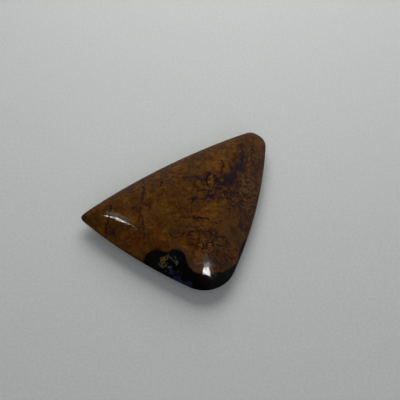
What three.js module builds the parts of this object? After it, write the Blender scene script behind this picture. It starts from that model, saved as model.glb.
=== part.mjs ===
import * as THREE from "three";

// One polished freeform boulder opal lying on its ground base. Millimetres: X right, Y away, Z up.

// Seen from above, three bulging sides run between these corners, which are then rounded off.
const TIP = new THREE.Vector2(-17.93, -2.235);
const NOSE = new THREE.Vector2(8.19, -19.655);
const BACK = new THREE.Vector2(17.75, 19.215);
const FRONT_BULGE = 1.35;
const RIGHT_BULGE = 2.11;
const BACK_BULGE = 1.78;
const TIP_ROUND = 1.07;
const NOSE_RADIUS = 5.76;
const BACK_RADIUS = 2.94;

// The widest line of the stone stands this high, and is rounded by this radius.
const GIRDLE_HEIGHT = 3.0;
const GIRDLE_RADIUS = 0.5;

// Each flank rises from that line at its own angle in degrees and blends into the crown over a height.
const FLANKS = {
  front: { angle: 47, blend: 0.9 },
  nose: { angle: 54, blend: 3.0 },
  right: { angle: 42, blend: 3.0 },
  back: { angle: 60, blend: 0.8 },
};
// The front flank steepens from its first values to those of the nose between these two places in X.
const STEEPENS_FROM = -6.9;
const STEEPENS_TO = 6.1;
// How far in from a side its own flank counts most near a corner.
const FLANK_REACH = 1.0;
// The flanks that meet behind the tip share a crest, rounder the further in it is.
const CREST_GROWTH = 0.5;

// The crown is a low dome, cut by a plane that falls towards the tip.
const CROWN_PLACE = new THREE.Vector2(6.1, 1.4);
const CROWN_HEIGHT = 8.57;
const CROWN_FALL_X = 0.0055;
const CROWN_FALL_Y = 0.006;
const TIP_RISE = 1.6;
const TIP_FALL_ANGLE = 23;
const TIP_FALL_DIRECTION = new THREE.Vector2(0.97, 0.22);
const TIP_BLEND = 1.6;
// Towards the back edge the crown rounds off as a quarter of an ellipse.
const BACK_ROUND_WIDTH = 13.0;
const BACK_ROUND_HEIGHT = 5.6;
const BACK_ROUND_BLEND = 0.8;

// Below the widest line the stone is undercut to a flat base.
const UNDERCUT_ANGLE = 38;
const UNDERCUT_BLEND = 0.8;

// The surface is a net of rays from this centre, closer together towards the corners and the edge.
const NET_CENTRE = new THREE.Vector2(4.31, -0.55);
const RAYS_PER_SIDE = 44;
const RAY_CROWDING = 0.55;
const TOP_RINGS = 24;
const BASE_RINGS = 12;
const TOP_CROWDING = 2.1;
const BASE_CROWDING = 2.6;
const OUTLINE_SEARCH = 40;
const SEARCH_STEPS = 50;

const rise = (degrees) => Math.tan(THREE.MathUtils.degToRad(degrees));

function smoothMin(a, b, blend) {
  const overlap = Math.max(blend - Math.abs(a - b), 0) / blend;
  return Math.min(a, b) - (overlap * overlap * blend) / 4;
}

function smoothMax(a, b, blend) {
  return -smoothMin(-a, -b, blend);
}

// A side is an arc that bulges to the right of the way from one corner to the next.
function sideArc(from, to, bulge) {
  const chord = to.clone().sub(from);
  const radius = (chord.lengthSq() / 4 + bulge * bulge) / (2 * bulge);
  const inward = new THREE.Vector2(-chord.y, chord.x).normalize();
  const centre = from.clone().add(to).multiplyScalar(0.5);
  return { centre: centre.addScaledVector(inward, radius - bulge), radius };
}

// A corner is the arc of the given radius that touches the two sides next to it.
function cornerArc(before, after, radius, near) {
  const reachBefore = before.radius - radius;
  const reachAfter = after.radius - radius;
  const between = after.centre.clone().sub(before.centre);
  const gap = between.length();
  between.divideScalar(gap);
  const along = (reachBefore ** 2 - reachAfter ** 2 + gap ** 2) / (2 * gap);
  const across = Math.sqrt(reachBefore ** 2 - along ** 2);
  const turned = new THREE.Vector2(-between.y, between.x);
  const middle = before.centre.clone().addScaledVector(between, along);
  const one = middle.clone().addScaledVector(turned, across);
  const other = middle.clone().addScaledVector(turned, -across);
  const centre = one.distanceTo(near) < other.distanceTo(near) ? one : other;
  const starts = centre.clone().sub(before.centre);
  const ends = centre.clone().sub(after.centre);
  return { centre, radius, starts, ends };
}

const frontSide = sideArc(TIP, NOSE, FRONT_BULGE);
const rightSide = sideArc(NOSE, BACK, RIGHT_BULGE);
const backSide = sideArc(BACK, TIP, BACK_BULGE);
const roundCorners = [
  cornerArc(frontSide, rightSide, NOSE_RADIUS, NOSE),
  cornerArc(rightSide, backSide, BACK_RADIUS, BACK),
];

const depthIn = (arc, place) => arc.radius - place.distanceTo(arc.centre);

// How far a place lies in from the outline.
function inset(place) {
  const fromCorner = new THREE.Vector2();
  for (const corner of roundCorners) {
    fromCorner.subVectors(place, corner.centre);
    if (corner.starts.cross(fromCorner) > 0 && fromCorner.cross(corner.ends) > 0) {
      return depthIn(corner, place);
    }
  }
  const front = depthIn(frontSide, place);
  const back = depthIn(backSide, place);
  const crestBlend = TIP_ROUND + (CREST_GROWTH * Math.max(front + back, 0)) / 2;
  return Math.min(smoothMin(front, back, crestBlend), depthIn(rightSide, place));
}

// A flank value at a place, shared between the sides by how near each of them is.
function flankValue(place, name) {
  const steepening = THREE.MathUtils.smoothstep(place.x, STEEPENS_FROM, STEEPENS_TO);
  const front = THREE.MathUtils.lerp(FLANKS.front[name], FLANKS.nose[name], steepening);
  const nearness = (side) => Math.exp(-Math.max(depthIn(side, place), 0) / FLANK_REACH);
  const nearFront = nearness(frontSide);
  const nearRight = nearness(rightSide);
  const nearBack = nearness(backSide);
  const sum = nearFront * front + nearRight * FLANKS.right[name] + nearBack * FLANKS.back[name];
  return sum / (nearFront + nearRight + nearBack);
}

// Height gained, or lost, by going in from the round widest line along a slope.
function slopeFromGirdle(depth, angle) {
  return Math.sqrt(2 * GIRDLE_RADIUS * depth + (depth * rise(angle)) ** 2);
}

function crownHeight(place) {
  const x = place.x - CROWN_PLACE.x;
  const y = place.y - CROWN_PLACE.y;
  const dome = CROWN_HEIGHT - CROWN_FALL_X * x * x - CROWN_FALL_Y * y * y;
  const fromMiddle = 1 - THREE.MathUtils.clamp(depthIn(backSide, place) / BACK_ROUND_WIDTH, 0, 1);
  const roundOff = GIRDLE_HEIGHT + BACK_ROUND_HEIGHT * Math.sqrt(1 - fromMiddle ** 2);
  const along = place.clone().sub(TIP).dot(TIP_FALL_DIRECTION);
  const fall = GIRDLE_HEIGHT + TIP_RISE + along * rise(TIP_FALL_ANGLE);
  return smoothMin(smoothMin(dome, roundOff, BACK_ROUND_BLEND), fall, TIP_BLEND);
}

function topHeight(place) {
  const depth = Math.max(inset(place), 0);
  const flank = GIRDLE_HEIGHT + slopeFromGirdle(depth, flankValue(place, "angle"));
  return smoothMin(crownHeight(place), flank, flankValue(place, "blend"));
}

function baseHeight(place) {
  const depth = Math.max(inset(place), 0);
  const undercut = GIRDLE_HEIGHT - slopeFromGirdle(depth, UNDERCUT_ANGLE);
  return smoothMax(undercut, 0, UNDERCUT_BLEND);
}

// Directions of the rays, a sector for each side, crowded towards the corners at its ends.
function rayDirections() {
  const bearings = [TIP, NOSE, BACK].map((corner) => corner.clone().sub(NET_CENTRE).angle());
  const directions = [];
  for (let sector = 0; sector < bearings.length; sector += 1) {
    const starts = bearings[sector];
    const turn = bearings[(sector + 1) % bearings.length] - starts;
    const sweep = THREE.MathUtils.euclideanModulo(turn, 2 * Math.PI);
    for (let ray = 0; ray < RAYS_PER_SIDE; ray += 1) {
      const share = ray / RAYS_PER_SIDE;
      const eased = share - (RAY_CROWDING * Math.sin(2 * Math.PI * share)) / (2 * Math.PI);
      const angle = starts + sweep * eased;
      directions.push(new THREE.Vector2(Math.cos(angle), Math.sin(angle)));
    }
  }
  return directions;
}

// The outline point on a ray, found by halving.
function outlinePoint(direction) {
  let inside = 0;
  let outside = OUTLINE_SEARCH;
  for (let step = 0; step < SEARCH_STEPS; step += 1) {
    const middle = (inside + outside) / 2;
    const place = NET_CENTRE.clone().addScaledVector(direction, middle);
    if (inset(place) > 0) {
      inside = middle;
    } else {
      outside = middle;
    }
  }
  return NET_CENTRE.clone().addScaledVector(direction, inside);
}

// A sphere's net, from the middle of the crown down to the middle of the base, moved onto the stone.
function stoneGeometry() {
  const outline = rayDirections().map(outlinePoint);
  const rays = outline.length;
  const net = new THREE.SphereGeometry(1, rays, TOP_RINGS + BASE_RINGS);
  const points = net.getAttribute("position");
  for (let index = 0; index < points.count; index += 1) {
    const ring = Math.floor(index / (rays + 1));
    const onTop = ring < TOP_RINGS;
    const topShare = (1 - ring / TOP_RINGS) ** TOP_CROWDING;
    const baseShare = ((ring - TOP_RINGS) / BASE_RINGS) ** BASE_CROWDING;
    const edge = outline[(index % (rays + 1)) % rays];
    const place = edge.clone().lerp(NET_CENTRE, onTop ? topShare : baseShare);
    points.setXYZ(index, place.x, place.y, onTop ? topHeight(place) : baseHeight(place));
  }
  net.computeVertexNormals();
  return net;
}

// Polished brown ironstone, in the colour it has from a step away.
const ironstone = new THREE.MeshStandardMaterial({ color: "#5f3c17", roughness: 0.15, metalness: 0 });

const stone = new THREE.Mesh(stoneGeometry(), ironstone);
stone.name = "boulder_opal";

const part = new THREE.Group();
part.name = "boulder_opal_cabochon";
part.add(stone);

export default part;
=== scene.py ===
import math

import bpy
import numpy as np
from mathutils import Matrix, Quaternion, Vector


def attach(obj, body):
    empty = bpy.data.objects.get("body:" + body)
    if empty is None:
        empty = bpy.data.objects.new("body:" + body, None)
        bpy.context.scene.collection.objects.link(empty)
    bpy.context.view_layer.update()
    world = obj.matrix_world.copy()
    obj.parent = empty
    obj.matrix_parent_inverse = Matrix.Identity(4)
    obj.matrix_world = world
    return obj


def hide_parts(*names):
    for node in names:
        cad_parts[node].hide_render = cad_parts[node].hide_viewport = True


# A polished boulder opal: brown ironstone with thin seams of violet opal and a black lobe of potch
# (common opal) on its front flank. Lengths in this script are millimetres until a mesh is made.
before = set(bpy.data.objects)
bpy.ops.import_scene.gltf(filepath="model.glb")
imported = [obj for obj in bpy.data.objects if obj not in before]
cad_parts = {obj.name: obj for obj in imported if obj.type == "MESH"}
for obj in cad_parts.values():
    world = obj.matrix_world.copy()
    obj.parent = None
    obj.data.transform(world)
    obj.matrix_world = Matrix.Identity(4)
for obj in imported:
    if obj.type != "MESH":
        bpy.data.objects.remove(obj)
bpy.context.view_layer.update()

METRES = 0.001

# Form of the cut stone.
# Seen from above, three bulging sides run between these corners, which are then rounded off.
TIP = np.array([-17.93, -2.235])
NOSE = np.array([8.19, -19.655])
BACK = np.array([17.75, 19.215])
FRONT_BULGE = 1.35
RIGHT_BULGE = 2.11
BACK_BULGE = 1.78
TIP_ROUND = 1.07
NOSE_RADIUS = 5.76
BACK_RADIUS = 2.94

# The widest line of the stone stands this high, and is rounded by this radius.
GIRDLE_HEIGHT = 3.0
GIRDLE_RADIUS = 0.5

# Angle in degrees of each flank, and the height over which it blends into the crown.
FLANKS = {
    "front": {"angle": 47, "blend": 0.9},
    "nose": {"angle": 54, "blend": 3.0},
    "right": {"angle": 42, "blend": 3.0},
    "back": {"angle": 60, "blend": 0.8},
}
# The front flank steepens to the values of the nose between these two places in X.
STEEPENS_FROM = -6.9
STEEPENS_TO = 6.1
# How far in from a side its own flank counts most near a corner.
FLANK_REACH = 1.0
# The flanks that meet behind the tip share a crest, rounder the further in it is.
CREST_GROWTH = 0.5

# The crown is a low dome, cut by a plane that falls towards the tip.
CROWN_PLACE = (6.1, 1.4)
CROWN_HEIGHT = 8.57
CROWN_FALL = (0.0055, 0.006)
TIP_RISE = 1.6
TIP_FALL_ANGLE = 23
TIP_FALL_DIRECTION = np.array([0.97, 0.22])
TIP_BLEND = 1.6

# Towards the back edge the crown rounds off as a quarter of an ellipse.
BACK_ROUND_WIDTH = 13.0
BACK_ROUND_HEIGHT = 5.6
BACK_ROUND_BLEND = 0.8

# Below the widest line the stone is undercut to a flat base.
UNDERCUT_ANGLE = 38
UNDERCUT_BLEND = 0.8

# The surface is a net of rays from this centre, closer together towards the corners and the edge.
NET_CENTRE = np.array([4.31, -0.55])
RAYS_PER_SIDE = 150
RAY_CROWDING = 0.45
TOP_RINGS = 165
BASE_RINGS = 46
TOP_CROWDING = 1.5
BASE_CROWDING = 2.0
# The outline is looked for within this many mm of the centre, by halving.
OUTLINE_SEARCH = 40.0
SEARCH_STEPS = 50


def smooth_min(a, b, blend):
    overlap = np.maximum(blend - np.abs(a - b), 0) / blend
    return np.minimum(a, b) - overlap * overlap * blend / 4


def smooth_max(a, b, blend):
    return -smooth_min(-a, -b, blend)


def ease(value, start, end):
    """0 before start, 1 after end, and a smooth step between them."""
    share = np.clip((value - start) / (end - start), 0, 1)
    return share * share * (3 - 2 * share)


def side_arc(start, end, bulge):
    """Centre and radius of the arc that bulges to the right of the way from start to end."""
    chord = end - start
    length = np.hypot(*chord)
    radius = (length * length / 4 + bulge * bulge) / (2 * bulge)
    inward = np.array([-chord[1], chord[0]]) / length
    return (start + end) / 2 + inward * (radius - bulge), radius


def corner_arc(before, after, radius, near):
    """The arc of that radius which touches the two sides next to it, and where it starts and ends."""
    reach_before = before[1] - radius
    reach_after = after[1] - radius
    between = after[0] - before[0]
    gap = np.hypot(*between)
    between = between / gap
    along = (reach_before**2 - reach_after**2 + gap**2) / (2 * gap)
    across = math.sqrt(reach_before**2 - along**2)
    turned = np.array([-between[1], between[0]])
    middle = before[0] + between * along
    centres = [middle + turned * across, middle - turned * across]
    centre = min(centres, key=lambda place: np.hypot(*(place - near)))
    return centre, radius, centre - before[0], centre - after[0]


FRONT_SIDE = side_arc(TIP, NOSE, FRONT_BULGE)
RIGHT_SIDE = side_arc(NOSE, BACK, RIGHT_BULGE)
BACK_SIDE = side_arc(BACK, TIP, BACK_BULGE)
ROUND_CORNERS = [
    corner_arc(FRONT_SIDE, RIGHT_SIDE, NOSE_RADIUS, NOSE),
    corner_arc(RIGHT_SIDE, BACK_SIDE, BACK_RADIUS, BACK),
]


def depth_in(arc, x, y):
    """How far places lie in from the arc of a side, towards its centre."""
    return arc[1] - np.hypot(x - arc[0][0], y - arc[0][1])


def inset(x, y):
    """How far places lie in from the outline."""
    front = depth_in(FRONT_SIDE, x, y)
    back = depth_in(BACK_SIDE, x, y)
    crest_blend = TIP_ROUND + CREST_GROWTH * np.maximum(front + back, 0) / 2
    depth = np.minimum(smooth_min(front, back, crest_blend), depth_in(RIGHT_SIDE, x, y))
    for centre, radius, starts, ends in ROUND_CORNERS:
        dx, dy = x - centre[0], y - centre[1]
        in_corner = (starts[0] * dy - starts[1] * dx > 0) & (dx * ends[1] - dy * ends[0] > 0)
        depth = np.where(in_corner, radius - np.hypot(dx, dy), depth)
    return depth


def flank_value(x, y, name):
    """A flank value at places, shared between the sides by how near each of them is."""
    steepening = ease(x, STEEPENS_FROM, STEEPENS_TO)
    front = FLANKS["front"][name] + (FLANKS["nose"][name] - FLANKS["front"][name]) * steepening
    sides = (FRONT_SIDE, RIGHT_SIDE, BACK_SIDE)
    nearness = [np.exp(-np.maximum(depth_in(side, x, y), 0) / FLANK_REACH) for side in sides]
    shared = nearness[0] * front + nearness[1] * FLANKS["right"][name] + nearness[2] * FLANKS["back"][name]
    return shared / sum(nearness)


def slope_from_girdle(depth, angle):
    """Height gained, or lost, by going in from the round widest line along a slope."""
    return np.sqrt(2 * GIRDLE_RADIUS * depth + (depth * np.tan(np.radians(angle))) ** 2)


def top_height(x, y):
    depth = np.maximum(inset(x, y), 0)
    flank = GIRDLE_HEIGHT + slope_from_girdle(depth, flank_value(x, y, "angle"))
    from_crown_x, from_crown_y = x - CROWN_PLACE[0], y - CROWN_PLACE[1]
    dome = CROWN_HEIGHT - CROWN_FALL[0] * from_crown_x**2 - CROWN_FALL[1] * from_crown_y**2
    along = (x - TIP[0]) * TIP_FALL_DIRECTION[0] + (y - TIP[1]) * TIP_FALL_DIRECTION[1]
    fall = GIRDLE_HEIGHT + TIP_RISE + along * math.tan(math.radians(TIP_FALL_ANGLE))
    from_middle = 1 - np.clip(depth_in(BACK_SIDE, x, y) / BACK_ROUND_WIDTH, 0, 1)
    round_off = GIRDLE_HEIGHT + BACK_ROUND_HEIGHT * np.sqrt(1 - from_middle * from_middle)
    dome = smooth_min(dome, round_off, BACK_ROUND_BLEND)
    return smooth_min(smooth_min(dome, fall, TIP_BLEND), flank, flank_value(x, y, "blend"))


def base_height(x, y):
    depth = np.maximum(inset(x, y), 0)
    undercut = GIRDLE_HEIGHT - slope_from_girdle(depth, UNDERCUT_ANGLE)
    return smooth_max(undercut, 0, UNDERCUT_BLEND)


# Markings.
# Seams and cracks, each a line through places seen from above, with its half width.
VIOLET_SEAMS = [
    (
        [
            (-6.0, 4.6), (-6.0, 3.2), (-5.8, 0.5), (-5.9, -1.4), (-6.1, -3.3), (-6.1, -4.9),
            (-5.6, -5.9), (-5.3, -7.3), (-5.5, -8.8),
        ],
        0.17,
    ),
    ([(-6.0, -2.1), (-5.0, -3.0), (-4.0, -3.4)], 0.12),
    ([(-5.8, -4.0), (-6.5, -2.8)], 0.12),
    ([(-5.8, -0.4), (-5.9, -1.9)], 0.26),
    ([(-6.1, -3.0), (-6.1, -4.2)], 0.24),
    ([(-5.6, -5.8), (-5.4, -6.6)], 0.22),
    ([(4.6, 0.2), (5.2, 0.5), (6.6, -0.3), (7.2, 0.7), (8.3, 0.9)], 0.15),
    ([(2.6, -1.8), (3.7, -1.6), (4.6, -2.1), (5.7, -1.6), (6.7, -1.2)], 0.15),
    ([(6.8, -1.1), (7.5, -0.4), (9.0, -0.1), (9.9, -0.5), (9.4, -1.3), (8.1, -1.2)], 0.13),
    ([(10.2, 3.0), (10.9, 4.6), (11.9, 6.5), (12.7, 8.0), (12.6, 9.8)], 0.24),
    ([(10.0, -2.3), (13.1, -1.0), (15.1, -0.2)], 0.12),
    ([(1.6, 3.1), (2.9, 3.6), (3.9, 3.1), (5.6, 2.7), (6.0, 4.0)], 0.2),
    ([(7.2, 3.6), (7.9, 2.3), (9.0, 1.8)], 0.16),
    ([(2.4, -7.7), (3.7, -7.5), (4.9, -7.7)], 0.13),
    ([(-11.2, -4.6), (-11.4, -6.1), (-10.8, -7.6)], 0.1),
]
DARK_CRACKS = [
    ([(1.1, -5.5), (2.2, -5.7), (3.9, -5.9), (5.2, -5.8), (6.4, -5.8)], 0.13),
    ([(6.4, -5.8), (7.4, -6.6), (8.6, -6.6)], 0.08),
    ([(8.7, 7.3), (9.0, 5.7), (8.6, 4.0)], 0.14),
    ([(-11.6, -1.9), (-12.1, -2.8), (-12.0, -3.7), (-11.9, -4.5), (-12.6, -5.2), (-12.7, -6.0)], 0.12),
    ([(-2.6, 3.2), (-2.1, -0.6), (-1.7, -4.4)], 0.1),
    ([(3.4, 2.0), (3.2, -1.5), (3.2, -4.8)], 0.07),
    ([(6.0, 3.7), (5.9, 1.2), (6.3, 0.8)], 0.14),
    ([(7.1, 3.4), (7.4, 1.1)], 0.11),
    ([(2.6, -8.9), (3.6, -8.6), (4.5, -8.6), (4.5, -9.6), (3.8, -10.2), (2.7, -10.1), (2.6, -8.9)], 0.08),
    ([(5.2, -8.7), (6.1, -8.4), (6.9, -8.5), (6.4, -9.7), (5.2, -9.9)], 0.08),
    ([(7.5, -9.3), (8.6, -8.5), (9.4, -9.4), (8.7, -10.3), (7.6, -10.6)], 0.08),
    ([(4.1, -12.3), (3.9, -10.8), (4.8, -10.6), (5.5, -11.8), (4.8, -12.4)], 0.07),
    ([(5.7, -11.9), (5.7, -10.8), (6.9, -10.0), (7.3, -11.0), (6.5, -12.2)], 0.08),
    ([(12.7, 5.7), (13.4, 6.3), (14.5, 6.2)], 0.09),
    ([(12.9, 4.4), (14.2, 5.3), (15.0, 4.9)], 0.09),
    ([(12.6, 2.5), (13.7, 3.0), (14.5, 3.2)], 0.09),
    ([(12.2, 0.4), (13.1, 1.5), (14.5, 1.8)], 0.08),
    ([(11.5, -1.3), (12.8, -0.5), (13.9, -0.2)], 0.08),
    ([(-0.6, -8.9), (-0.1, -9.5), (1.0, -9.5), (1.8, -8.6)], 0.16),
]
# Thin grey threads of matrix that shine through the black potch beside a crumbly tan patch.
GREY_THREADS = [
    ([(-0.95, -12.1), (-1.0, -12.5)], 0.04),
    (
        [
            (-1.25, -12.9), (-1.1, -12.7), (-0.7, -12.65), (-0.3, -12.8), (0.0, -13.2), (0.4, -13.6),
            (0.5, -14.0),
        ],
        0.07,
    ),
    ([(-0.1, -12.5), (0.2, -13.0)], 0.04),
    ([(-1.0, -13.6), (-0.7, -13.95), (-0.3, -13.9)], 0.04),
    ([(-2.9, -13.1), (-2.4, -13.5)], 0.05),
]
BLUE_FLASH = [
    ([(-1.2, -14.1), (-0.5, -14.7)], 0.12),
    ([(-0.4, -14.8), (0.4, -15.3), (0.9, -15.9)], 0.3),
    ([(0.9, -15.9), (2.2, -16.8), (3.0, -17.2)], 0.26),
]
# Tiny chips in the polish over the nose. They are left rough, and are also painted near black: painted shade
# for the dark they show inside the highlight.
CHIPS_AND_PAINTED_SHADE = [
    ([(5.2, -14.4), (5.4, -14.7)], 0.05),
    ([(5.4, -15.0), (6.0, -15.25)], 0.06),
    ([(5.5, -14.85), (5.7, -14.85)], 0.05),
    ([(4.8, -14.7), (4.9, -15.0)], 0.05),
    ([(6.05, -14.3), (6.3, -14.3)], 0.04),
]
# Painted reflection: a pale grey line painted beside the right shoulder of the potch, where the shoulder
# mirrors the pane over the nose.
PAINTED_SHOULDER_REFLECTION = [
    (
        [
            (0.2, -11.2), (1.4, -11.6), (2.2, -12.4), (2.7, -13.6), (3.2, -14.4), (3.9, -15.0),
            (4.8, -15.4),
        ],
        0.25,
    ),
]
# Outline of the black potch. It runs out past the stone's edge, because the seam goes through.
POTCH_LOBE = [
    (-5.4, -11.8), (-5.2, -11.3), (-4.7, -11.1), (-3.9, -11.0), (-3.1, -11.0), (-2.2, -11.4),
    (-1.4, -11.8), (-1.0, -11.9), (-0.6, -11.8), (-0.1, -11.6), (0.4, -11.7), (1.1, -11.9),
    (1.6, -12.3), (2.0, -12.8), (2.2, -13.4), (2.4, -14.0), (2.7, -14.6), (3.1, -15.0), (3.6, -15.4),
    (4.4, -15.7), (5.2, -15.9), (6.6, -15.7), (7.9, -15.1), (8.7, -14.9), (9.7, -14.1), (10.4, -13.3),
    (11.1, -12.5), (11.5, -11.6), (11.6, -10.6), (11.9, -9.5), (12.3, -8.5), (12.8, -7.6), (13.6, -6.4),
    (20.0, -5.0), (16.0, -26.0), (0.0, -26.0), (-9.0, -17.0),
]
# Patches of another colour, each x, y, half length along X and along Y.
PATCHES = {
    "olive": [
        (0.2, -1.2, 1.7, 3.2), (-4.0, 0.7, 1.2, 1.4), (-2.0, -6.3, 1.6, 1.2), (7.0, -9.6, 1.0, 1.4),
        (-15.6, -2.6, 1.5, 1.0), (3.6, 8.6, 2.0, 1.0),
    ],
    "gold": [
        (6.8, 6.2, 1.4, 1.4), (8.2, 7.6, 1.0, 0.9), (9.5, 6.0, 0.55, 1.5), (6.6, 2.3, 0.5, 1.2),
        (6.9, -3.2, 1.4, 0.8), (5.1, -2.6, 0.9, 0.6), (4.0, -10.6, 0.5, 1.2), (9.7, -8.9, 0.6, 1.0),
        (0.4, 6.4, 1.4, 0.8), (2.9, -11.6, 0.5, 0.9),
    ],
    "orange": [
        (5.1, -5.0, 1.3, 0.5), (3.8, -4.9, 0.9, 0.4), (3.8, -6.6, 1.6, 0.5), (5.4, -6.7, 1.3, 0.5),
        (9.8, -11.8, 1.1, 1.3), (9.1, -13.0, 0.9, 0.7), (11.2, 12.3, 1.0, 1.0), (12.8, 5.1, 0.6, 0.8),
        (-2.5, -10.0, 1.3, 0.6), (-7.1, -9.2, 2.6, 1.0), (15.5, 14.1, 1.0, 1.0), (-8.4, -7.9, 1.9, 0.6),
        (10.9, 10.1, 1.1, 0.9), (-3.3, -7.8, 0.8, 1.0),
    ],
    "rust": [
        (14.4, 3.2, 1.6, 3.4), (12.9, -2.3, 1.8, 1.4), (-8.1, -2.4, 1.5, 1.2), (-10.4, -3.0, 1.3, 0.6),
        (11.6, -9.6, 0.8, 1.0), (-12.7, -6.2, 1.0, 0.6), (5.5, -1.9, 1.4, 1.1), (13.7, -5.6, 0.9, 2.0),
        (16.2, 9.0, 1.0, 3.0),
    ],
    "mauve": [
        (10.8, -1.9, 1.3, 0.6), (-1.2, 3.8, 0.7, 0.8), (13.7, 6.6, 0.9, 1.4), (14.9, -0.3, 1.3, 0.5),
        (-4.7, 3.7, 1.4, 0.7), (8.0, 0.0, 1.8, 0.4), (12.0, 0.5, 0.8, 1.0), (-8.6, 1.4, 1.2, 0.6),
        (13.4, 11.5, 0.7, 1.2),
    ],
    "salmon": [(4.1, -14.2, 0.6, 1.0), (4.1, -15.3, 0.5, 0.5), (4.6, -12.8, 1.0, 0.6)],
    "grey": [
        (7.0, -9.2, 1.4, 0.6), (11.2, -8.2, 1.0, 0.8), (4.6, 3.0, 1.5, 0.6), (2.2, 3.2, 1.2, 0.4),
        (0.4, -8.6, 1.2, 0.5), (11.1, -7.3, 1.2, 0.7), (12.5, -5.2, 0.6, 1.2), (11.1, 0.9, 0.5, 0.7),
        (6.9, -12.8, 0.9, 0.7), (8.4, -13.8, 1.2, 0.6),
    ],
    "violet": [
        (10.2, 3.0, 1.2, 0.9), (9.0, 1.9, 1.0, 0.7), (10.6, 4.1, 1.0, 0.8), (11.9, 6.4, 0.8, 1.0),
        (12.6, 8.3, 0.4, 1.1), (10.5, 5.6, 0.5, 0.6), (7.9, 2.2, 0.5, 0.5), (3.7, -1.5, 0.5, 0.45),
        (6.0, -0.8, 0.35, 0.4), (6.6, -1.2, 0.5, 0.35), (9.7, 0.1, 0.6, 0.35), (6.1, 4.1, 0.55, 0.35),
        (5.2, 0.5, 0.35, 0.35), (8.3, 0.8, 0.35, 0.35),
    ],
    # Where the ironstone is broken into small cemented pieces.
    "broken": [
        (6.6, -10.6, 4.4, 3.2), (8.5, 0.8, 4.6, 3.4), (13.5, 1.0, 2.4, 6.0), (13.0, 9.0, 2.4, 3.0),
    ],
    # Red-brown grains inside the black potch.
    "embers": [(-3.6, -11.5, 0.9, 0.25), (1.0, -15.0, 0.8, 0.35), (6.0, -16.3, 1.9, 0.45)],
    "teal": [
        (-2.6, -11.7, 1.0, 0.4), (0.9, -13.3, 0.6, 0.7), (7.0, -17.2, 1.0, 0.4), (9.6, -14.9, 0.9, 0.6),
        (-0.5, -13.4, 0.4, 0.5),
    ],
    "tan_crumbs": [(-1.85, -12.75, 0.5, 0.4), (-2.2, -13.2, 0.3, 0.25), (-1.5, -13.2, 0.3, 0.2)],
    # Where a grey reflection is painted on the black potch.
    "painted_grey_reflection": [(0.0, -12.1, 0.8, 0.4), (-3.2, -13.0, 1.4, 0.8), (2.6, -12.6, 0.5, 1.6)],
}
LINES = {
    "violet_seam": VIOLET_SEAMS,
    "dark_crack": DARK_CRACKS,
    "grey_threads": GREY_THREADS,
    "blue_flash": BLUE_FLASH,
    "chips_and_painted_shade": CHIPS_AND_PAINTED_SHADE,
    "painted_shoulder_reflection": PAINTED_SHOULDER_REFLECTION,
}
# Painted reflection: the back rim is painted darker and greyer than the crown, for the grey room that its
# rolled edge mirrors.
PAINTED_RIM_REFLECTION_WIDTH = 1.1

# Sways that shift all markings but the potch and the back rim's painted reflection: wave length and reach in
# mm.
SWAYS = ((3.1, 0.16), (1.3, 0.09), (0.57, 0.05))
# How fast the waves run along X and Y, first their own steps, then those of the wave that bends them.
SWAY_ALONG_X = ((0.41, 0.83), (0.47, -0.282))
SWAY_ALONG_Y = ((0.89, -0.37), (0.371, 0.53))
SWAY_BEND = 1.7


def distance_to_line(x, y, points):
    nearest = np.full_like(x, np.inf)
    for (x0, y0), (x1, y1) in zip(points[:-1], points[1:]):
        dx, dy = x1 - x0, y1 - y0
        share = np.clip(((x - x0) * dx + (y - y0) * dy) / (dx * dx + dy * dy), 0, 1)
        nearest = np.minimum(nearest, np.hypot(x - x0 - share * dx, y - y0 - share * dy))
    return nearest


def depth_in_lines(x, y, lines):
    """Depth in mm inside the nearest line's width, negative outside it."""
    depths = [half_width - distance_to_line(x, y, points) for points, half_width in lines]
    return np.max(depths, axis=0)


def depth_in_outline(x, y, points):
    """Depth in mm inside a closed outline, negative outside it."""
    closed = points + points[:1]
    inside = np.zeros(x.shape, bool)
    for (x0, y0), (x1, y1) in zip(closed[:-1], closed[1:]):
        if y0 != y1:
            crossing = x0 + (y - y0) * (x1 - x0) / (y1 - y0)
            inside ^= ((y0 > y) != (y1 > y)) & (x < crossing)
    return np.where(inside, 1, -1) * distance_to_line(x, y, closed)


def depth_in_patches(x, y, patches):
    """Depth in mm inside the nearest patch, negative outside it."""
    depths = [(1 - np.hypot((x - px) / rx, (y - py) / ry)) * min(rx, ry) for px, py, rx, ry in patches]
    return np.max(depths, axis=0)


def bent_wave(x, y, turn, steps, slow_steps):
    """A wave over the stone, bent by a slower one. Steps say how fast each runs along X and Y."""
    slow = np.sin(turn * (slow_steps[0] * x + slow_steps[1] * y))
    return np.sin(turn * (steps[0] * x + steps[1] * y) + SWAY_BEND * slow)


def wandered(x, y):
    """Places shifted a little back and forth, so that no seam runs straight."""
    for wave_length, reach in SWAYS:
        turn = 2 * math.pi / wave_length
        shift_x = reach * bent_wave(x, y, turn, *SWAY_ALONG_X)
        shift_y = reach * bent_wave(x, y, turn, *SWAY_ALONG_Y)
        x, y = x + shift_x, y + shift_y
    return x, y


# Stone mesh.
def ray_directions():
    """Angles of the rays, a sector for each side, crowded towards the corners at its ends."""
    bearings = [math.atan2(*(corner - NET_CENTRE)[::-1]) for corner in (TIP, NOSE, BACK)]
    share = np.arange(RAYS_PER_SIDE) / RAYS_PER_SIDE
    eased = share - RAY_CROWDING * np.sin(2 * math.pi * share) / (2 * math.pi)
    sectors = zip(bearings, bearings[1:] + bearings[:1])
    return np.concatenate([start + (end - start) % (2 * math.pi) * eased for start, end in sectors])


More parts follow.
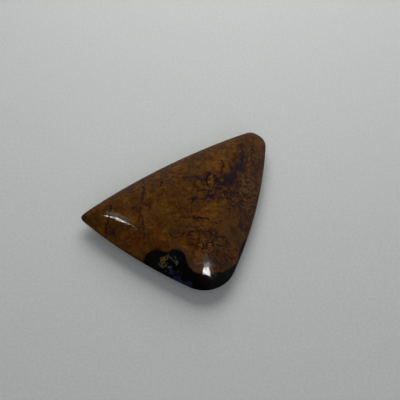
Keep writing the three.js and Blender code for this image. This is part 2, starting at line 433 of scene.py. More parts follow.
def outline_points():
    """The outline point on each ray, found by halving."""
    angles = ray_directions()
    inside = np.zeros(len(angles))
    outside = np.full(len(angles), OUTLINE_SEARCH)
    for _ in range(SEARCH_STEPS):
        middle = (inside + outside) / 2
        x = NET_CENTRE[0] + middle * np.cos(angles)
        y = NET_CENTRE[1] + middle * np.sin(angles)
        still_in = inset(x, y) > 0
        inside = np.where(still_in, middle, inside)
        outside = np.where(still_in, outside, middle)
    return NET_CENTRE[0] + inside * np.cos(angles), NET_CENTRE[1] + inside * np.sin(angles)


def net_ring(edge_x, edge_y, share, height):
    """A ring of the net, that share of the way from the edge to the centre."""
    x = edge_x + (NET_CENTRE[0] - edge_x) * share
    y = edge_y + (NET_CENTRE[1] - edge_y) * share
    return np.stack([x, y, height(x, y)], axis=1)


def stone_net():
    """Points and faces from the middle of the base, round the edge, to the middle of the crown."""
    edge_x, edge_y = outline_points()
    rings = []
    for ring in range(BASE_RINGS - 1, 0, -1):
        rings.append(net_ring(edge_x, edge_y, (ring / BASE_RINGS) ** BASE_CROWDING, base_height))
    for ring in range(TOP_RINGS):
        rings.append(net_ring(edge_x, edge_y, (ring / TOP_RINGS) ** TOP_CROWDING, top_height))
    base_middle = np.array([[*NET_CENTRE, 0]])
    crown_middle = np.array([[*NET_CENTRE, top_height(*NET_CENTRE)]])
    points = np.concatenate([*rings, base_middle, crown_middle])
    rays = len(edge_x)
    last_ring = (len(rings) - 1) * rays
    base_point, crown_point = len(points) - 2, len(points) - 1
    faces = []
    for ray in range(rays):
        beside = (ray + 1) % rays
        for start in range(0, last_ring, rays):
            faces.append((start + ray, start + beside, start + rays + beside, start + rays + ray))
        faces.append((base_point, beside, ray))
        faces.append((crown_point, last_ring + ray, last_ring + beside))
    return points, faces


def markings_at(points):
    """Depth in mm in each marking at the points, and where they lie on the stone."""
    x, y, height = points.T
    moved_x, moved_y = wandered(x, y)
    markings = {name: depth_in_patches(moved_x, moved_y, patches) for name, patches in PATCHES.items()}
    for name, lines in LINES.items():
        markings[name] = depth_in_lines(moved_x, moved_y, lines)
    markings["potch"] = depth_in_outline(x, y, POTCH_LOBE)
    # The back rim's painted reflection, as far in from the back side as it reaches.
    markings["painted_rim_reflection"] = PAINTED_RIM_REFLECTION_WIDTH - depth_in(BACK_SIDE, x, y)
    markings["height"] = height
    markings["above_girdle"] = np.where(height > GIRDLE_HEIGHT, inset(x, y), 0)
    return markings


def cut_stone():
    """The stone as the wheel left it, smooth, with the depth in each marking kept at every point."""
    points, faces = stone_net()
    mesh = bpy.data.meshes.new("boulder_opal_stone")
    mesh.from_pydata([tuple(point) for point in points * METRES], [], faces)
    mesh.shade_smooth()
    for name, values in markings_at(points).items():
        layer = mesh.attributes.new(name, "FLOAT", "POINT")
        layer.data.foreach_set("value", values.astype(np.float32))
    return mesh


# Nodes.
# A Mix node has several sockets of one name, so these are taken by number.
SHARE = 0
FIRST_VALUE = 2
SECOND_VALUE = 3
UNDER = 6
OVER = 7
MIXED_COLOUR = 2


def tone(code):
    """An sRGB hex value as linear colour with full alpha."""
    parts = [int(code[i : i + 2], 16) / 255 for i in (1, 3, 5)]
    return (*[c / 12.92 if c <= 0.04045 else ((c + 0.055) / 1.055) ** 2.4 for c in parts], 1.0)


def add(tree, kind, inputs=None, **settings):
    """Adds a node. inputs gives its sockets values, or the sockets that feed them."""
    node = tree.nodes.new(kind)
    for name, value in settings.items():
        setattr(node, name, value)
    for name, value in (inputs or {}).items():
        socket = node.inputs[name]
        if isinstance(value, bpy.types.NodeSocket):
            tree.links.new(value, socket)
        else:
            socket.default_value = value
    return node


# Polishing relief.
# Inputs of the tree, in mm where they are lengths: name, kind of socket and value.
RELIEF_INPUTS = [
    ("Potch stands", "NodeSocketFloat", 0.025),
    ("Potch shoulder", "NodeSocketFloat", 0.45),
    ("Seam sinks", "NodeSocketFloat", 0.012),
    ("Crack sinks", "NodeSocketFloat", 0.02),
    ("Groove shoulder", "NodeSocketFloat", 0.2),
    ("Wave height", "NodeSocketFloat", 0.015),
    ("Wave length", "NodeSocketFloat", 4.5),
    ("Edge kept", "NodeSocketFloat", 0.9),
    ("Seed", "NodeSocketInt", 7),
    ("Finish", "NodeSocketMaterial", None),
]
# What each marking does in the polish: its height, its shoulder, and whether it rises or sinks.
RELIEF_STEPS = [
    ("potch", "Potch stands", "Potch shoulder", 1.0),
    ("violet_seam", "Seam sinks", "Groove shoulder", -1.0),
    ("dark_crack", "Crack sinks", "Groove shoulder", -1.0),
]


def polishing_relief():
    """Polishing leaves hard potch proud of the ironstone, softer seams and cracks below it, and a
    slow hand-made waviness. All of it dies out towards the widest line of the stone."""
    tree = bpy.data.node_groups.new("polishing_relief", "GeometryNodeTree")
    tree.interface.new_socket("Stone", in_out="INPUT", socket_type="NodeSocketGeometry")
    tree.interface.new_socket("Polished", in_out="OUTPUT", socket_type="NodeSocketGeometry")
    for name, kind, _ in RELIEF_INPUTS:
        tree.interface.new_socket(name, in_out="INPUT", socket_type=kind)
    given = add(tree, "NodeGroupInput").outputs

    # The slow waviness, to which each marking's step is added.
    how_fine = add(tree, "ShaderNodeMath", {0: 1 / METRES, 1: given["Wave length"]}, operation="DIVIDE")
    swell = add(
        tree,
        "ShaderNodeTexNoise",
        {"W": given["Seed"], "Scale": how_fine.outputs[0], "Detail": 1.0},
        noise_dimensions="4D",
    )
    centred = add(tree, "ShaderNodeMath", {0: swell.outputs["Fac"], 1: -0.5}, operation="ADD")
    waves = add(
        tree,
        "ShaderNodeMath",
        {0: centred.outputs[0], 1: given["Wave height"]},
        operation="MULTIPLY",
    )
    total = waves.outputs[0]
    for marking, height, shoulder, sign in RELIEF_STEPS:
        depth = add(tree, "GeometryNodeInputNamedAttribute", {"Name": marking}, data_type="FLOAT")
        outside = add(tree, "ShaderNodeMath", {0: given[shoulder], 1: -1.0}, operation="MULTIPLY")
        full = add(tree, "ShaderNodeMath", {0: given[height], 1: sign}, operation="MULTIPLY")
        slope = {
            "Value": depth.outputs["Attribute"],
            "From Min": outside.outputs[0],
            "From Max": given[shoulder],
            "To Max": full.outputs[0],
        }
        step = add(tree, "ShaderNodeMapRange", slope, interpolation_type="SMOOTHSTEP")
        total = add(tree, "ShaderNodeMath", {0: total, 1: step.outputs[0]}, operation="ADD").outputs[0]

    # The fade at the edge also turns the millimetres into metres.
    inwards = add(tree, "GeometryNodeInputNamedAttribute", {"Name": "above_girdle"}, data_type="FLOAT")
    fade = add(
        tree,
        "ShaderNodeMapRange",
        {"Value": inwards.outputs["Attribute"], "From Max": given["Edge kept"], "To Max": METRES},
        interpolation_type="SMOOTHSTEP",
    )
    height = add(tree, "ShaderNodeMath", {0: total, 1: fade.outputs["Result"]}, operation="MULTIPLY")
    normal = add(tree, "GeometryNodeInputNormal")
    offset = add(
        tree,
        "ShaderNodeVectorMath",
        {0: normal.outputs[0], "Scale": height.outputs[0]},
        operation="SCALE",
    )
    moved = add(tree, "GeometryNodeSetPosition", {"Geometry": given["Stone"], "Offset": offset.outputs[0]})
    real = add(tree, "GeometryNodeRealizeInstances", {"Geometry": moved.outputs[0]})
    finish = {"Geometry": real.outputs[0], "Material": given["Finish"]}
    finished = add(tree, "GeometryNodeSetMaterial", finish)
    add(tree, "NodeGroupOutput", {"Polished": finished.outputs[0]})
    return tree


def polished_stone(finish):
    """The cut stone's mesh after the relief tree has run on it."""
    cut = bpy.data.objects.new("cut_stone", cut_stone())
    bpy.context.scene.collection.objects.link(cut)
    polish = cut.modifiers.new("polishing", "NODES")
    polish.node_group = polishing_relief()
    values = {name: value for name, _, value in RELIEF_INPUTS}
    values["Finish"] = finish
    for socket in polish.node_group.interface.items_tree:
        if socket.in_out == "INPUT" and socket.name in values:
            polish[socket.identifier] = values[socket.name]
    seen = cut.evaluated_get(bpy.context.evaluated_depsgraph_get())
    mesh = bpy.data.meshes.new_from_object(seen)
    mesh.name = "boulder_opal_polished"
    cut.modifiers.remove(polish)
    bpy.data.objects.remove(cut)
    return mesh


# Materials.
# Noise fields: size in mm, detail, roughness, distortion, how far each axis is squeezed, and place.
FIELDS = {
    "cloud": (6.0, 4.0, 0.6, 0.0, (1, 1, 1), (0.004, 0, 0)),
    "blot": (2.4, 4.0, 0.6, 0.5, (1, 1, 1), (0, 0.013, 0)),
    "patchy": (3.6, 2.0, 0.5, 0.0, (1, 1, 1), (0.03, 0.1, 0)),
    "upright": (2.0, 4.0, 0.6, 0.8, (1.5, 0.6, 1), (0.05, 0.02, 0)),
    "lying": (2.0, 4.0, 0.6, 0.8, (0.6, 1.5, 1), (0.02, 0.06, 0)),
    "islands": (1.8, 3.0, 0.55, 0.6, (1.2, 0.8, 1), (0.07, 0.02, 0)),
    "crumbs": (1.3, 3.0, 0.55, 0.4, (1, 1, 1), (0.01, 0.07, 0)),
    "worm": (2.4, 3.0, 0.5, 1.0, (1.2, 0.9, 1), (0.02, 0, 0.01)),
    "curl": (1.6, 2.0, 0.5, 1.4, (0.8, 1.2, 1), (0, 0.08, 0.02)),
    "grain": (0.7, 4.0, 0.65, 0.3, (1, 1, 1), (0, 0, 0.03)),
    "speck": (0.3, 2.0, 0.6, 0.0, (1, 1, 1), (0.1, 0, 0.03)),
}
# Broad stains of the ironstone, laid one after another: marking, field that frays its edge, by how
# many mm, over how many mm it fades in, its strength and its colour.
BROAD_STAINS = [
    ("olive", "blot", 1.4, 0.7, 0.75, "#472c05"),
    ("gold", "crumbs", 0.9, 0.25, 0.9, "#6c450b"),
    ("orange", "upright", 1.1, 0.3, 0.8, "#69360c"),
    ("rust", "upright", 1.4, 0.8, 0.65, "#432619"),
    ("mauve", "lying", 1.2, 0.6, 0.6, "#4e302b"),
    ("salmon", "grain", 1.4, 0.6, 0.7, "#7a5440"),
]
# What the brown of a cemented piece is multiplied by: from which share on, and the tint. One piece
# in a hundred is black.
PIECE_TINTS = [
    (0.00, "#000000"),
    (0.01, "#b48f86"),
    (0.25, "#cdbb7a"),
    (0.45, "#ffd2a0"),
    (0.60, "#fff0b4"),
    (0.75, "#a08a90"),
    (0.88, "#8c7a62"),
]
# Mottles from half a millimetre to one: field, where it fades in, how strong in calm and in broken
# ironstone, and colour.
MOTTLES = [
    ("islands", 0.51, 0.57, 0.40, 0.55, "#69480f"),
    ("upright", 0.53, 0.59, 0.40, 0.55, "#43221e"),
    ("crumbs", 0.54, 0.60, 0.30, 0.50, "#6e3c0f"),
    ("lying", 0.53, 0.60, 0.40, 0.55, "#33200e"),
]
# Hairlines where a field crosses a level: field, level, half width, how strong in calm and in broken
# ironstone, and colour. The innermost fifth of its width is full.
HAIRLINE_CORE = 0.2
HAIRLINES = [
    ("worm", 0.500, 0.016, 0.55, 0.95, "#210f0e"),
    ("curl", 0.500, 0.020, 0.45, 0.90, "#26120c"),
    ("worm", 0.465, 0.010, 0.20, 0.60, "#856a3e"),
    ("curl", 0.460, 0.010, 0.15, 0.55, "#7f5c3a"),
    ("islands", 0.470, 0.014, 0.35, 0.75, "#2c1415"),
    ("crumbs", 0.480, 0.018, 0.30, 0.70, "#2c1414"),
    ("upright", 0.455, 0.014, 0.25, 0.60, "#2a150f"),
]
# Stains, painted reflections and painted shade over the mottles and hairlines, and stains and a painted
# reflection inside the potch, in the same order of values.
DARK_STAINS_AND_PAINTED_LIGHT = [
    # Painted reflection of the room along the back rim.
    ("painted_rim_reflection", "crumbs", 1.0, 1.2, 0.6, "#1c1f1c"),
    # Painted reflection of the pane on the potch's shoulder.
    ("painted_shoulder_reflection", "crumbs", 1.0, 0.9, 0.5, "#4e4034"),
    ("grey", "grain", 1.6, 0.9, 0.5, "#231e19"),
    ("violet", "grain", 2.3, 0.5, 0.85, "#17111d"),
    ("violet_seam", "upright", 0.5, 0.2, 0.8, "#1f141d"),
    ("dark_crack", "lying", 0.3, 0.16, 0.85, "#190a06"),
    # Painted shade in the chips.
    ("chips_and_painted_shade", "speck", 0.1, 0.08, 0.9, "#120a07"),
]
POTCH_STAINS_AND_PAINTED_REFLECTION = [
    ("embers", "grain", 1.4, 0.3, 0.8, "#1f0a09"),
    ("teal", "blot", 0.9, 0.5, 0.7, "#0c1517"),
    # Painted reflection: grey haze over the black potch.
    ("painted_grey_reflection", "grain", 1.0, 0.5, 0.55, "#191819"),
    ("blue_flash", "grain", 0.9, 0.35, 0.85, "#15162e"),
    ("blue_flash", "crumbs", 3.0, 0.5, 0.7, "#20293f"),
    ("tan_crumbs", "speck", 1.5, 0.12, 0.7, "#6f5833"),
    ("grey_threads", "speck", 0.5, 0.1, 0.7, "#5c5c55"),
]
# The chestnut ground runs between these two browns, at these levels of its cloudiness.
GROUND_BROWNS = [(0.36, "#462809"), (0.64, "#634010")]
CLOUD_SHARE_OF_BLOTS = 0.45

# Small cemented pieces: size and how far their outlines bend, in mm, and how they are squeezed.
PIECE_SIZE = 1.1
PIECE_BEND = 1.1
PIECE_SQUEEZE = (1.25, 0.75, 1)
PIECE_RIM = "#2a130d"
# The broken zones' edges fray by this many mm and fade over this many.
BROKEN_FRAY = 5.0
BROKEN_FADE = 1.6

POTCH_BLACK = "#090706"
POTCH_FRAY = 0.3
GROUND_DUST = "#6d5236"

# The whole polish has the index of refraction of common opal. The skin's relief is in mm.
STONE_IOR = 1.46
SKIN_RELIEF = 0.006
UNPOLISHED_ROUGHNESS = 0.6


def set_ramp(ramp, stops):
    """Gives a colour ramp these stops, each a position and a colour."""
    elements = ramp.color_ramp.elements
    while len(elements) < len(stops):
        elements.new(1.0)
    for element, (position, colour) in zip(elements, stops):
        element.position = position
        element.color = tone(colour)


def noise_fields(tree, place):
    """Every noise field of the table, by name."""
    fields = {}
    for name, (size, detail, rough, warp, squeeze, shift) in FIELDS.items():
        moved = add(tree, "ShaderNodeMapping", {"Vector": place, "Location": shift, "Scale": squeeze})
        texture = {
            "Vector": moved.outputs[0],
            "Scale": 1 / METRES / size,
            "Detail": detail,
            "Roughness": rough,
            "Distortion": warp,
        }
        fields[name] = add(tree, "ShaderNodeTexNoise", texture).outputs["Fac"]
    return fields


def lay_colour(tree, ground, fields, marking, field, frays, fades, strength, colour):
    """Lays a colour over the ground where a marking says, with an edge that a noise field frays. Used for
    stains and for painted reflections and painted shade alike.
    """
    depth = add(tree, "ShaderNodeAttribute", attribute_name=marking)
    fray = {0: fields[field], 1: frays, 2: -frays / 2}
    shift = add(tree, "ShaderNodeMath", fray, operation="MULTIPLY_ADD")
    frayed = add(tree, "ShaderNodeMath", {0: depth.outputs["Fac"], 1: shift.outputs[0]}, operation="ADD")
    share = add(
        tree,
        "ShaderNodeMapRange",
        {"Value": frayed.outputs[0], "From Min": -fades / 2, "From Max": fades / 2, "To Max": strength},
        interpolation_type="SMOOTHSTEP",
    )
    layer = {SHARE: share.outputs[0], UNDER: ground, OVER: tone(colour)}
    return add(tree, "ShaderNodeMix", layer, data_type="RGBA").outputs[MIXED_COLOUR]


def mottle(tree, ground, fields, broken, field, low, high, calm_share, broken_share, colour):
    """Lays a colour where a noise field is high, more of it where the ironstone is broken."""
    where = add(
        tree,
        "ShaderNodeMapRange",
        {"Value": fields[field], "From Min": low, "From Max": high},
        interpolation_type="SMOOTHSTEP",
    )
    limits = {"Value": broken, "To Min": calm_share, "To Max": broken_share}
    strength = add(tree, "ShaderNodeMapRange", limits)
    share = add(tree, "ShaderNodeMath", {0: where.outputs[0], 1: strength.outputs[0]}, operation="MULTIPLY")
    layer = {SHARE: share.outputs[0], UNDER: ground, OVER: tone(colour)}
    return add(tree, "ShaderNodeMix", layer, data_type="RGBA").outputs[MIXED_COLOUR]


def hairline(tree, ground, fields, broken, field, level, half_width, calm_share, broken_share, colour):
    """Draws a healed crack along the line on which a noise field has that level."""
    above = add(tree, "ShaderNodeMath", {0: fields[field], 1: level}, operation="SUBTRACT")
    away = add(tree, "ShaderNodeMath", {0: above.outputs[0]}, operation="ABSOLUTE")
    fade = {
        "Value": away.outputs[0],
        "From Min": HAIRLINE_CORE * half_width,
        "From Max": half_width,
        "To Min": 1.0,
        "To Max": 0.0,
    }
    line = add(tree, "ShaderNodeMapRange", fade, interpolation_type="SMOOTHSTEP")
    limits = {"Value": broken, "To Min": calm_share, "To Max": broken_share}
    strength = add(tree, "ShaderNodeMapRange", limits)
    share = add(tree, "ShaderNodeMath", {0: line.outputs[0], 1: strength.outputs[0]}, operation="MULTIPLY")
    layer = {SHARE: share.outputs[0], UNDER: ground, OVER: tone(colour)}
    return add(tree, "ShaderNodeMix", layer, data_type="RGBA").outputs[MIXED_COLOUR]


def broken_zones(tree, fields):
    """How much the ironstone is broken, from 0 to 1."""
    marked = add(tree, "ShaderNodeAttribute", attribute_name="broken")
    fray = {0: fields["patchy"], 1: BROKEN_FRAY, 2: -BROKEN_FRAY / 2}
    frayed = add(tree, "ShaderNodeMath", fray, operation="MULTIPLY_ADD")
    depth = add(tree, "ShaderNodeMath", {0: marked.outputs["Fac"], 1: frayed.outputs[0]}, operation="ADD")
    fade = {"Value": depth.outputs[0], "From Min": -BROKEN_FADE / 2, "From Max": BROKEN_FADE / 2}
    return add(tree, "ShaderNodeMapRange", fade, interpolation_type="SMOOTHSTEP").outputs[0]


def cemented_pieces(tree, ground, place, broken):
    """Where the ironstone is broken, small pieces each have their own brown inside a dark rim."""
    bend = add(tree, "ShaderNodeTexNoise", {"Vector": place, "Scale": 1 / METRES / PIECE_SIZE, "Detail": 3.0})
    centring = {0: bend.outputs["Color"], 1: (0.5, 0.5, 0.5)}
    centred = add(tree, "ShaderNodeVectorMath", centring, operation="SUBTRACT")
    reach = {0: centred.outputs[0], "Scale": PIECE_BEND * METRES}
    shift = add(tree, "ShaderNodeVectorMath", reach, operation="SCALE")
    bent = add(tree, "ShaderNodeVectorMath", {0: place, 1: shift.outputs[0]}, operation="ADD")
    squeezed = add(tree, "ShaderNodeMapping", {"Vector": bent.outputs[0], "Scale": PIECE_SQUEEZE})
    cells = {"Vector": squeezed.outputs[0], "Scale": 1 / METRES / PIECE_SIZE}

    pieces = add(tree, "ShaderNodeTexVoronoi", cells)
    tint = add(tree, "ShaderNodeSeparateColor", {0: pieces.outputs["Color"]})
    ramp = add(tree, "ShaderNodeValToRGB", {"Fac": tint.outputs[0]})
    ramp.color_ramp.interpolation = "CONSTANT"
    set_ramp(ramp, PIECE_TINTS)
    share = add(tree, "ShaderNodeMapRange", {"Value": broken, "To Min": 0.15, "To Max": 0.8})
    layer = {SHARE: share.outputs[0], UNDER: ground, OVER: ramp.outputs["Color"]}
    tinted = add(tree, "ShaderNodeMix", layer, data_type="RGBA", blend_type="MULTIPLY")

    rims = add(tree, "ShaderNodeTexVoronoi", cells, feature="DISTANCE_TO_EDGE")
    fade = {
        "Value": rims.outputs["Distance"],
        "From Min": 0.02,
        "From Max": 0.11,
        "To Min": 0.8,
        "To Max": 0.0,
    }
    near_rim = add(tree, "ShaderNodeMapRange", fade, interpolation_type="SMOOTHSTEP")
    rimmed = add(tree, "ShaderNodeMath", {0: near_rim.outputs[0], 1: broken}, operation="MULTIPLY")
    layer = {SHARE: rimmed.outputs[0], UNDER: tinted.outputs[MIXED_COLOUR], OVER: tone(PIECE_RIM)}
    return add(tree, "ShaderNodeMix", layer, data_type="RGBA").outputs[MIXED_COLOUR]


def brown_ironstone(tree, place, fields):
    """Chestnut ground, from dark to ochre with the cloudiness of its cement, and all its markings."""
    clouds = {SHARE: CLOUD_SHARE_OF_BLOTS, FIRST_VALUE: fields["cloud"], SECOND_VALUE: fields["blot"]}
    cloudy = add(tree, "ShaderNodeMix", clouds)
    ramp = add(tree, "ShaderNodeValToRGB", {"Fac": cloudy.outputs[0]})
    set_ramp(ramp, GROUND_BROWNS)
    ground = ramp.outputs["Color"]
    for broad in BROAD_STAINS:
        ground = lay_colour(tree, ground, fields, *broad)
    broken = broken_zones(tree, fields)
    ground = cemented_pieces(tree, ground, place, broken)
    for fine in MOTTLES:
        ground = mottle(tree, ground, fields, broken, *fine)
    for fine in HAIRLINES:
        ground = hairline(tree, ground, fields, broken, *fine)
    # Each grain lets a different amount of light back out.
    brightness = {
        "Value": fields["grain"],
        "From Min": 0.34,
        "From Max": 0.66,
        "To Min": 0.66,
        "To Max": 1.32,
    }
    grain_light = add(tree, "ShaderNodeMapRange", brightness)
    lit = {0: ground, "Scale": grain_light.outputs[0]}
    ground = add(tree, "ShaderNodeVectorMath", lit, operation="SCALE").outputs[0]
    # Then the dark stains, with the painted reflections and painted shade among them.
    for dark in DARK_STAINS_AND_PAINTED_LIGHT:
        ground = lay_colour(tree, ground, fields, *dark)
    return ground


def black_potch(tree, fields):
    """Common opal that lets no light back out but for a blue flash and bits of matrix, with a grey haze
    painted on as painted reflection.
    """
    black = tone(POTCH_BLACK)
    for dark in POTCH_STAINS_AND_PAINTED_REFLECTION:
        black = lay_colour(tree, black, fields, *dark)
    return black


def polished_boulder_opal():
    """Ironstone and opal, sawn, domed on wheels and polished with cerium oxide: a glassy skin in
    which the eye sees warm brown cemented grains, with dark seams under the same even gloss."""
    material = bpy.data.materials.new("polished_boulder_opal_ironstone")
    material.use_nodes = True
    tree = material.node_tree
    tree.nodes.clear()
    place = add(tree, "ShaderNodeTexCoord").outputs["Object"]
    fields = noise_fields(tree, place)
    brown = brown_ironstone(tree, place, fields)
    black = black_potch(tree, fields)
    lobe = add(tree, "ShaderNodeAttribute", attribute_name="potch")
    fray = {0: fields["grain"], 1: POTCH_FRAY, 2: -POTCH_FRAY / 2}
    frayed = add(tree, "ShaderNodeMath", fray, operation="MULTIPLY_ADD")
    lobe_edge = add(tree, "ShaderNodeMath", {0: lobe.outputs["Fac"], 1: frayed.outputs[0]}, operation="ADD")
    in_potch = add(
        tree,
        "ShaderNodeMapRange",
        {"Value": lobe_edge.outputs[0], "From Min": -0.25, "From Max": 0.2},
        interpolation_type="SMOOTHSTEP",
    )
    layer = {SHARE: in_potch.outputs[0], UNDER: brown, OVER: black}
    stone_colour = add(tree, "ShaderNodeMix", layer, data_type="RGBA").outputs[MIXED_COLOUR]

    # The base was ground flat and left matt, and holds some dust.
    height = add(tree, "ShaderNodeAttribute", attribute_name="height")
    matt = add(
        tree,
        "ShaderNodeMapRange",
        {"Value": height.outputs["Fac"], "From Min": 0.9, "From Max": 1.4, "To Min": 1.0, "To Max": 0.0},
        interpolation_type="SMOOTHSTEP",
    )
    dusty = add(tree, "ShaderNodeMath", {0: matt.outputs[0], 1: 0.5}, operation="MULTIPLY")
    layer = {SHARE: dusty.outputs[0], UNDER: stone_colour, OVER: tone(GROUND_DUST)}
    colour = add(tree, "ShaderNodeMix", layer, data_type="RGBA").outputs[MIXED_COLOUR]

    # The polish is a little uneven, and gone in the chips.
    gloss = add(
        tree,
        "ShaderNodeMapRange",
        {"Value": fields["blot"], "From Min": 0.3, "From Max": 0.7, "To Min": 0.05, "To Max": 0.11},
    )
    chip = add(tree, "ShaderNodeAttribute", attribute_name="chips_and_painted_shade")
    chipped = add(
        tree,
        "ShaderNodeMapRange",
        {"Value": chip.outputs["Fac"], "From Min": -0.04, "From Max": 0.04},
        interpolation_type="SMOOTHSTEP",
    )
    unpolished = add(tree, "ShaderNodeMath", {0: matt.outputs[0], 1: chipped.outputs[0]}, operation="MAXIMUM")
    finish = {
        SHARE: unpolished.outputs[0],
        FIRST_VALUE: gloss.outputs[0],
        SECOND_VALUE: UNPOLISHED_ROUGHNESS,
    }
    roughness = add(tree, "ShaderNodeMix", finish)
    pits = add(
        tree,
        "ShaderNodeMapRange",
        {"Value": fields["speck"], "From Min": 0.3, "From Max": 0.42},
        interpolation_type="SMOOTHSTEP",
    )
    skin_height = add(tree, "ShaderNodeMath", {0: fields["grain"], 1: pits.outputs[0]}, operation="ADD")
    relief = {"Height": skin_height.outputs[0], "Distance": SKIN_RELIEF * METRES, "Strength": 0.6}
    skin = add(tree, "ShaderNodeBump", relief)
    surface = {
        "Base Color": colour,
        "Roughness": roughness.outputs[0],
        "IOR": STONE_IOR,
        "Normal": skin.outputs["Normal"],
    }
    shader = add(tree, "ShaderNodeBsdfPrincipled", surface)
    add(tree, "ShaderNodeOutputMaterial", {"Surface": shader.outputs[0]})
    return material


# Pebbles of the tabletop's finish: their size and relief in mm, and its two greys.
PEBBLE_SIZE = 0.5
PEBBLE_RELIEF = 0.03
PEBBLE_GREYS = [(0.3, "#c6c9c9"), (0.7, "#cfd1d1")]


def matt_tabletop():
    """Pale laminate with a fine pebbled finish: no gloss, and a faint sparkle close up."""
    material = bpy.data.materials.new("pale_matt_laminate")
    material.use_nodes = True
    tree = material.node_tree
    tree.nodes.clear()
    place = add(tree, "ShaderNodeTexCoord").outputs["Object"]
    texture = {"Vector": place, "Scale": 1 / METRES / PEBBLE_SIZE, "Detail": 2.0}
    pebble = add(tree, "ShaderNodeTexNoise", texture)
    ramp = add(tree, "ShaderNodeValToRGB", {"Fac": pebble.outputs["Fac"]})
    set_ramp(ramp, PEBBLE_GREYS)
    relief = {"Height": pebble.outputs["Fac"], "Distance": PEBBLE_RELIEF * METRES, "Strength": 0.5}
    skin = add(tree, "ShaderNodeBump", relief)
    surface = {"Base Color": ramp.outputs["Color"], "Roughness": 0.55, "Normal": skin.outputs["Normal"]}
    shader = add(tree, "ShaderNodeBsdfPrincipled", surface)
    add(tree, "ShaderNodeOutputMaterial", {"Surface": shader.outputs[0]})
    return material


# Pieces.
scene = bpy.context.scene
stone = bpy.data.objects.new("boulder_opal_polished", polished_stone(polished_boulder_opal()))
scene.collection.objects.link(stone)
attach(stone, "root")
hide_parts("boulder_opal")

# Half the tabletop's side, in metres.
FLOOR_HALF = 1.5
floor_corners = [(x * FLOOR_HALF, y * FLOOR_HALF, 0) for x, y in ((-1, -1), (1, -1), (1, 1), (-1, 1))]
floor_mesh = bpy.data.meshes.new("tabletop")
floor_mesh.from_pydata(floor_corners, [], [(0, 1, 2, 3)])
tabletop = bpy.data.objects.new("tabletop", floor_mesh)
scene.collection.objects.link(tabletop)
tabletop.data.materials.append(matt_tabletop())
# The polish mirrors the room but not the table, so no pale line runs round the stone.
tabletop.visible_glossy = False

# Camera.
# The photograph looks down at about 55 degrees. The camera is taken to be 18 cm away, with a lens
# that shows a millimetre on 5.2 pixels.
ELEVATION = math.radians(55)
DISTANCE = 180
TARGET = Vector((4.61, 3.85, 0))
PIXELS_PER_MM = 5.2
FRAME_PIXELS = 400

camera_data = bpy.data.cameras.new("camera")
camera = bpy.data.objects.new("camera", camera_data)
scene.collection.objects.link(camera)
towards_camera = Vector((0, -math.cos(ELEVATION), math.sin(ELEVATION)))
camera.location = (TARGET + towards_camera * DISTANCE) * METRES
camera.rotation_euler = (-towards_camera).to_track_quat("-Z", "Y").to_euler()
camera_data.sensor_width = 36
camera_data.lens = PIXELS_PER_MM * DISTANCE / FRAME_PIXELS * camera_data.sensor_width
camera_data.clip_start = 0.01
camera_data.clip_end = 10
scene.camera = camera


# Light.
def soft_box(
    name, direction, distance, size, radiance, colour="#ffffff", roll=0, in_gloss=True, in_diffuse=True
):
    """An area light that far from the stone, in metres, facing it, with that even brightness."""
    data = bpy.data.lights.new(name, "AREA")
    data.shape = "RECTANGLE"
    data.size, data.size_y = size
    data.energy = radiance * math.pi * size[0] * size[1]
    data.color = tone(colour)[:3]
    lamp = bpy.data.objects.new(name, data)
    scene.collection.objects.link(lamp)
    away = Vector(direction).normalized()
    lamp.location = TARGET * METRES + away * distance
    level = (-away).to_track_quat("-Z", "Y")
    lamp.rotation_euler = (level @ Quaternion((0, 0, 1), math.radians(roll))).to_euler()
    lamp.visible_glossy = in_gloss
    lamp.visible_diffuse = in_diffuse


# Two boxes light the stone and the table.
soft_box("key", (0.05, 0.62, 0.77), 0.17, (0.15, 0.15), 3.1, "#fffffb", in_gloss=False)
soft_box("front_fill", (0.05, -0.65, 0.75), 1.2, (1.0, 1.0), 1.2, "#fbfdff", in_gloss=False)

# The rest are seen only in the polish. These make the streak behind the tip and the veil above it.
soft_box("left_pane", (-0.766, -0.2115, 0.602), 0.5, (0.020, 0.05), 26, in_diffuse=False)
soft_box("left_sill", (-0.778, -0.173, 0.602), 0.5, (0.018, 0.05), 4.5, in_diffuse=False)
soft_box("left_chink", (-0.787, -0.138, 0.602), 0.5, (0.007, 0.08), 80, in_diffuse=False)
soft_box("left_glow", (-0.660, 0.142, 0.738), 0.6, (0.30, 0.12), 1.2, "#fff1dc", roll=-14, in_diffuse=False)

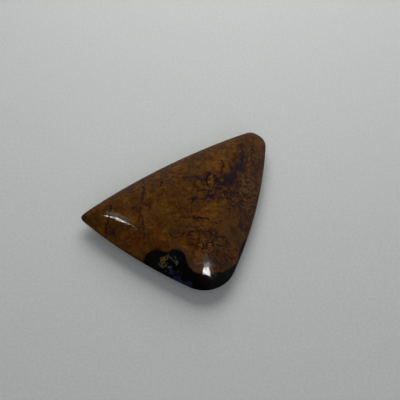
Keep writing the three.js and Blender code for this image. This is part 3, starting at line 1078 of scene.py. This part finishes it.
# The pane over the nose is built up of rows, each further to the side, because it is seen askew.
PANE_MIDDLE = Vector((0.36, -0.67, 0.65))
ROW_STEP = Vector((0.029, 0.040, 0.0215))
for row in range(-2, 3):
    soft_box("over_pane", PANE_MIDDLE + row * ROW_STEP, 0.5, (0.25, 0.021), 24, roll=-16, in_diffuse=False)
soft_box("over_blind", (0.50, -0.48, 0.76), 0.5, (0.27, 0.06), 4.0, roll=-16, in_diffuse=False)
soft_box("over_glow", (0.45, -0.42, 0.79), 0.6, (0.5, 0.34), 0.7, in_diffuse=False)

world = bpy.data.worlds.new("room")
world.use_nodes = True
scene.world = world
room = world.node_tree
room.nodes.clear()
outwards = add(room, "ShaderNodeTexCoord").outputs["Generated"]
axes = add(room, "ShaderNodeSeparateXYZ", {0: outwards})
# What the polish mirrors is a dark room, a little brighter towards its back and right walls.
towards_back = add(
    room,
    "ShaderNodeMapRange",
    {"Value": axes.outputs["Y"], "From Min": -0.1, "From Max": 0.9, "To Min": 0.01, "To Max": 0.11},
)
overhead = add(
    room,
    "ShaderNodeMapRange",
    {"Value": axes.outputs["Z"], "From Min": 0.35, "From Max": 0.85, "To Min": 1.0, "To Max": 0.25},
)
back_light = {0: towards_back.outputs[0], 1: overhead.outputs[0]}
back_wall = add(room, "ShaderNodeMath", back_light, operation="MULTIPLY")
right_wall = add(
    room,
    "ShaderNodeMapRange",
    {"Value": axes.outputs["X"], "From Min": 0.1, "From Max": 0.9, "To Min": 0.0, "To Max": 0.08},
)
walls = add(room, "ShaderNodeMath", {0: back_wall.outputs[0], 1: right_wall.outputs[0]}, operation="ADD")
# Matt surfaces get an even light from all around, as from large white reflectors.
REFLECTOR_LIGHT = 0.13
ray = add(room, "ShaderNodeLightPath").outputs["Is Diffuse Ray"]
lights = {SHARE: ray, FIRST_VALUE: walls.outputs[0], SECOND_VALUE: REFLECTOR_LIGHT}
strength = add(room, "ShaderNodeMix", lights)
backdrop = add(room, "ShaderNodeBackground", {"Color": tone("#f2f4f6"), "Strength": strength.outputs[0]})
add(room, "ShaderNodeOutputWorld", {"Surface": backdrop.outputs[0]})
scene.view_settings.view_transform = "Standard"
